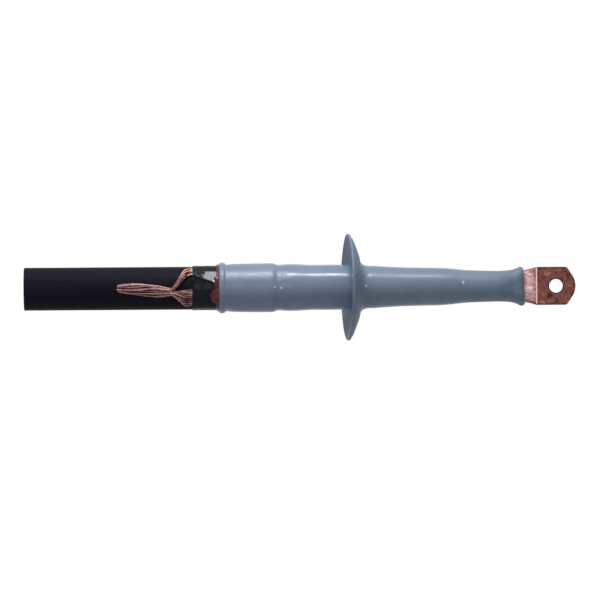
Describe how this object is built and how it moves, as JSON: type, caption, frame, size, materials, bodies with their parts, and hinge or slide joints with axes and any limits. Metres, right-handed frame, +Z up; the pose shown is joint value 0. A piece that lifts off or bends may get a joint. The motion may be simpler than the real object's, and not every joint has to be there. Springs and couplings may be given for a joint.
{
  "type": "cable termination",
  "caption": "Cold-shrink termination for a screened power cable: grey silicone tube with a skirt, copper lug, screen wires folded back into an earth tail, on a cut cable stub.",
  "frame": {"origin": "centre of the bolt hole in the lug's palm, midway through its thickness", "axes": "+X along the cable axis towards the lug, +Y through the bolt hole to the contact face, +Z up"},
  "size_m": [0.4231, 0.0815, 0.082],
  "materials": {
    "silicone": "semi-gloss silicone rubber",
    "lug_copper": "bare copper, brown and mottled",
    "jacket": "extruded black polyethylene",
    "separator_tape": "thin pale tape",
    "bedding_tape": "dark swelling tape",
    "semicon": "dull black conducting plastic",
    "insulation": "translucent white polyethylene",
    "stress_tube": "dull black rubber",
    "compound": "dark soft compound",
    "mastic": "glossy dark red mastic",
    "vinyl_tape": "glossy black vinyl tape",
    "conductor_copper": "cut copper strand",
    "wire_copper": "bare drawn copper wire"
  },
  "bodies": {
    "root": {"silicone_body": "silicone", "compression_lug": "lug_copper", "jacket": "jacket", "separator_tape": "separator_tape", "bedding_tape": "bedding_tape", "insulation_screen": "semicon", "insulation": "insulation", "conductor_screen": "semicon", "stress_tube": "stress_tube", "stress_compound": "compound", "fold_filler": "mastic", "lug_seal": "mastic", "sealing_mastic": "mastic", "tape_wrap": "vinyl_tape", "conductor_strand_01": "conductor_copper", "conductor_strand_02": "conductor_copper", "conductor_strand_03": "conductor_copper", "conductor_strand_04": "conductor_copper", "conductor_strand_05": "conductor_copper", "conductor_strand_06": "conductor_copper", "conductor_strand_07": "conductor_copper", "conductor_strand_08": "conductor_copper", "conductor_strand_09": "conductor_copper", "conductor_strand_10": "conductor_copper", "conductor_strand_11": "conductor_copper", "conductor_strand_12": "conductor_copper", "conductor_strand_13": "conductor_copper", "conductor_strand_14": "conductor_copper", "conductor_strand_15": "conductor_copper", "conductor_strand_16": "conductor_copper", "conductor_strand_17": "conductor_copper", "conductor_strand_18": "conductor_copper", "conductor_strand_19": "conductor_copper", "screen_wire_01": "wire_copper", "screen_wire_02": "wire_copper", "screen_wire_03": "wire_copper", "screen_wire_04": "wire_copper", "screen_wire_05": "wire_copper", "screen_wire_06": "wire_copper", "screen_wire_07": "wire_copper", "screen_wire_08": "wire_copper", "screen_wire_09": "wire_copper", "screen_wire_10": "wire_copper", "screen_wire_11": "wire_copper", "screen_wire_12": "wire_copper", "screen_wire_13": "wire_copper", "screen_wire_14": "wire_copper", "screen_wire_15": "wire_copper", "screen_wire_16": "wire_copper", "screen_wire_17": "wire_copper", "screen_wire_18": "wire_copper", "screen_wire_19": "wire_copper", "screen_wire_20": "wire_copper", "screen_wire_21": "wire_copper", "screen_wire_22": "wire_copper", "screen_wire_23": "wire_copper", "screen_wire_24": "wire_copper"}
  },
  "joints": []
}
